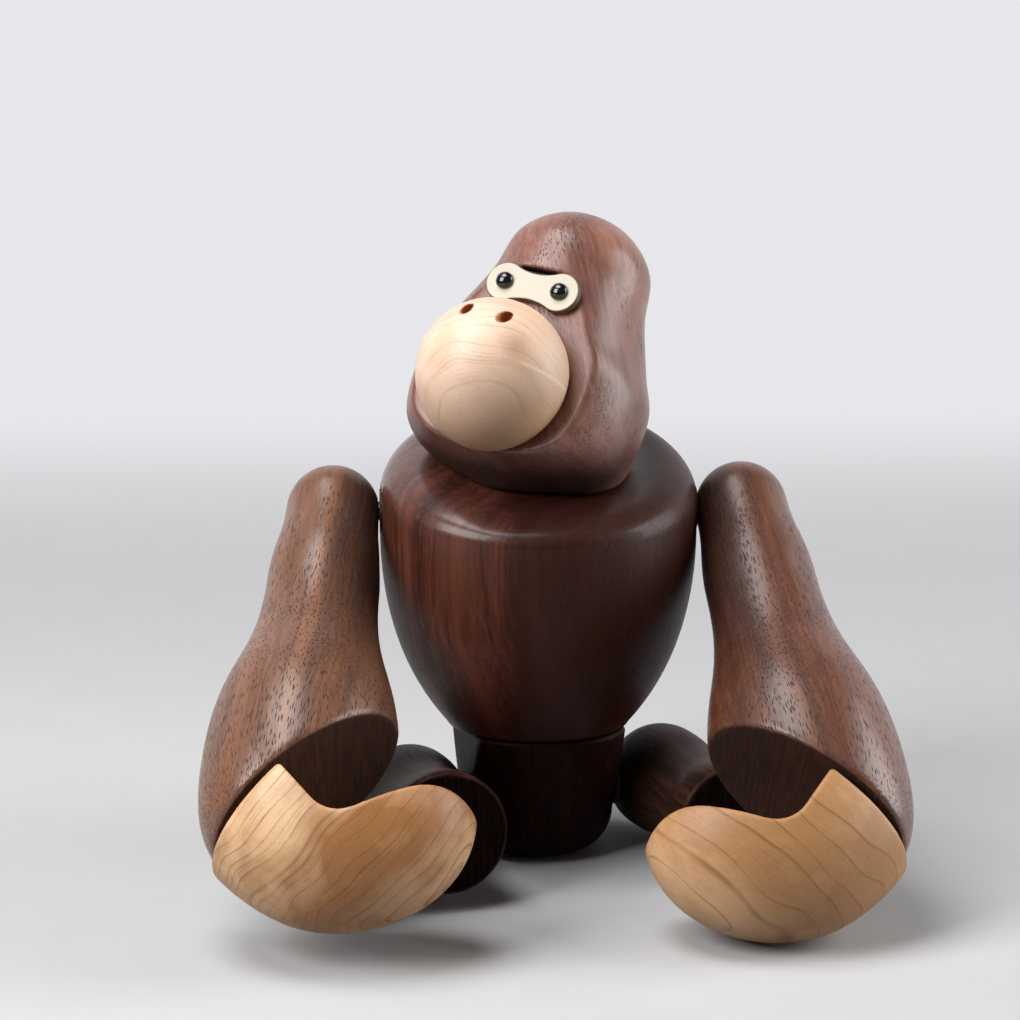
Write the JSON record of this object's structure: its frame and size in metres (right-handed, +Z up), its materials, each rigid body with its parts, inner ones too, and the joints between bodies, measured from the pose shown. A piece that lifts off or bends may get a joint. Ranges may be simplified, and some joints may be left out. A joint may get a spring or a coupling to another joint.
{
  "type": "jointed gorilla figure",
  "caption": "Seated turned-wood gorilla with pinned limbs, a turning head and hooked pale hands that can hang from a bar.",
  "frame": {"origin": "centre of the pelvis base, on the table that the figure sits on", "axes": "+Z up, the chest faces -Y, +X to the right of a viewer who looks at the chest"},
  "size_m": [0.1692, 0.1426, 0.1672],
  "materials": {
    "walnut": "oiled walnut, satin",
    "maple": "oiled maple, satin",
    "muzzle_maple": "oiled maple, satin",
    "pale_plate": "pale wood, brown cut edge",
    "black_bead": "polished black",
    "dowel_beech": "raw beech",
    "steel_pin": "drawn steel",
    "nylon_bush": "nylon",
    "fibre_washer": "dark fibre"
  },
  "bodies": {
    "pelvis": {"pelvis": "walnut", "hip_bush_left": "nylon_bush", "hip_bush_right": "nylon_bush"},
    "torso": {"torso": "walnut", "waist_dowel": "dowel_beech", "neck_bush": "nylon_bush", "shoulder_bush_left": "nylon_bush", "shoulder_bush_right": "nylon_bush"},
    "head": {"head": "walnut", "neck_dowel": "dowel_beech", "neck_washer": "fibre_washer", "muzzle": "muzzle_maple", "muzzle_dowel": "dowel_beech", "eye_plate": "pale_plate", "eye_left": "black_bead", "eye_right": "black_bead"},
    "arm_left": {"arm_left": "walnut", "shoulder_pin_left": "steel_pin", "shoulder_washer_left": "fibre_washer"},
    "hand_left": {"hand_left": "maple", "wrist_pin_left": "steel_pin", "wrist_washer_left": "fibre_washer"},
    "leg_left": {"leg_left": "walnut", "hip_pin_left": "steel_pin", "hip_washer_left": "fibre_washer"},
    "arm_right": {"arm_right": "walnut", "shoulder_pin_right": "steel_pin", "shoulder_washer_right": "fibre_washer"},
    "hand_right": {"hand_right": "maple", "wrist_pin_right": "steel_pin", "wrist_washer_right": "fibre_washer"},
    "leg_right": {"leg_right": "walnut", "hip_pin_right": "steel_pin", "hip_washer_right": "fibre_washer"}
  },
  "joints": [
    {"name": "waist_turn", "type": "hinge", "parent": "pelvis", "child": "torso", "pos_m": [0, 0, 0.0345], "axis": [0, 0, 1], "range_deg": [-15, 3]},
    {"name": "neck_turn", "type": "hinge", "parent": "torso", "child": "head", "pos_m": [0, 0, 0.105], "axis": [0, -0.284, 0.9588], "continuous": true},
    {"name": "shoulder_left", "type": "hinge", "parent": "torso", "child": "arm_left", "pos_m": [-0.0531, 0, 0.0906], "axis": [-1, 0, 0], "range_deg": [0, 250]},
    {"name": "hip_left", "type": "hinge", "parent": "pelvis", "child": "leg_left", "pos_m": [-0.03406, -0.00849, 0.0156], "axis": [-0.9703, -0.2419, 0], "range_deg": [-150, 8]},
    {"name": "wrist_left", "type": "hinge", "parent": "arm_left", "child": "hand_left", "pos_m": [-0.06689, -0.07343, 0.03156], "axis": [0.6018, -0.6224, -0.5004], "range_deg": [-90, 120]},
    {"name": "shoulder_right", "type": "hinge", "parent": "torso", "child": "arm_right", "pos_m": [0.0531, 0, 0.0906], "axis": [-1, 0, 0], "range_deg": [0, 250]},
    {"name": "hip_right", "type": "hinge", "parent": "pelvis", "child": "leg_right", "pos_m": [0.03406, 0.00849, 0.0156], "axis": [-0.9703, -0.2419, 0], "range_deg": [-150, 5]},
    {"name": "wrist_right", "type": "hinge", "parent": "arm_right", "child": "hand_right", "pos_m": [0.06689, -0.06879, 0.02622], "axis": [0.6018, 0.5831, 0.5457], "range_deg": [-90, 120]}
  ]
}
